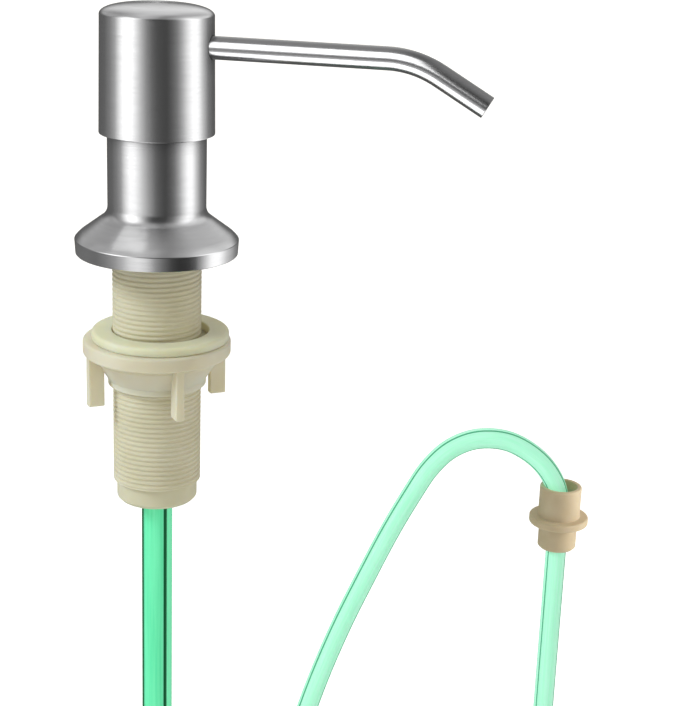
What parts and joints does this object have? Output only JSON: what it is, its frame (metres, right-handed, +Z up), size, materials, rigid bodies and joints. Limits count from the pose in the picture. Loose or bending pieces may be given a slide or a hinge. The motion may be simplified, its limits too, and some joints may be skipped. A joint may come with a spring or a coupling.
{
  "type": "soap pump dispenser",
  "caption": "Counter-mounted soap pump with a brushed steel head, bent spout and flared base, a threaded plastic shank with a winged nut, and a hose that ends in a bottle stopper and foot valve.",
  "frame": {"origin": "centre of the base flange's underside, on the counter top", "axes": "+Z up along the pump axis, +Y away from the user, +X to the right; the spout points 11 degrees from +X toward the user"},
  "size_m": [0.2078, 0.2838, 0.4837],
  "materials": {
    "brushed_steel": "fine brushing round the axis",
    "ivory_plastic": "matte moulded",
    "white_plastic": "satin moulded",
    "black_rubber": "matte",
    "spring_steel": "bright drawn wire and polished balls",
    "green_hose": "clear tube full of green soap",
    "beige_stopper": "soft moulded"
  },
  "bodies": {
    "base": {"base_collar": "brushed_steel", "flange_gasket": "black_rubber", "threaded_shank": "ivory_plastic", "pump_closure": "white_plastic", "stem_wiper": "black_rubber", "pump_housing": "white_plastic", "housing_gasket": "black_rubber", "spring_seat": "white_plastic", "return_spring": "spring_steel", "supply_hose": "green_hose", "bottle_stopper": "beige_stopper", "foot_valve_body": "white_plastic", "foot_strainer": "white_plastic"},
    "plunger": {"piston": "white_plastic", "piston_seal": "white_plastic"},
    "head": {"head_shell": "brushed_steel", "head_core": "white_plastic", "spout": "brushed_steel", "spout_o_ring": "black_rubber", "pump_stem": "white_plastic", "ball_stop": "white_plastic"},
    "washer": {"shank_washer": "ivory_plastic"},
    "nut": {"mounting_nut": "ivory_plastic"},
    "inlet_valve": {"inlet_ball": "spring_steel"},
    "outlet_valve": {"outlet_ball": "spring_steel"},
    "foot_valve": {"foot_valve_ball": "spring_steel"}
  },
  "joints": [
    {"name": "pump_stroke", "type": "slide", "parent": "base", "child": "plunger", "axis": [0, 0, 1], "range_m": [-0.015, 0], "stiffness_N_per_m": 400, "springref_m": 0.01, "deforming": ["return_spring"]},
    {"name": "head_swivel", "type": "hinge", "parent": "plunger", "child": "head", "pos_m": [0, 0, 0.04], "axis": [0, 0, 1], "continuous": true},
    {"name": "washer_slide", "type": "slide", "parent": "base", "child": "washer", "axis": [0, 0, 1], "range_m": [-0.0304, 0.024]},
    {"name": "nut_turn", "type": "hinge", "parent": "washer", "child": "nut", "pos_m": [0, 0, -0.035], "axis": [0, 0, 1], "range_deg": [-6840, 5400]},
    {"name": "inlet_lift", "type": "slide", "parent": "base", "child": "inlet_valve", "axis": [0, 0, 1], "range_m": [0, 0.002]},
    {"name": "outlet_lift", "type": "slide", "parent": "plunger", "child": "outlet_valve", "axis": [0, 0, 1], "range_m": [0, 0.002]},
    {"name": "foot_lift", "type": "slide", "parent": "base", "child": "foot_valve", "axis": [0, 0, 1], "range_m": [0, 0.002]}
  ],
  "couplings": [
    {"joint": "washer_slide", "follows": "nut_turn", "m_per_rad": 0.00025465}
  ]
}
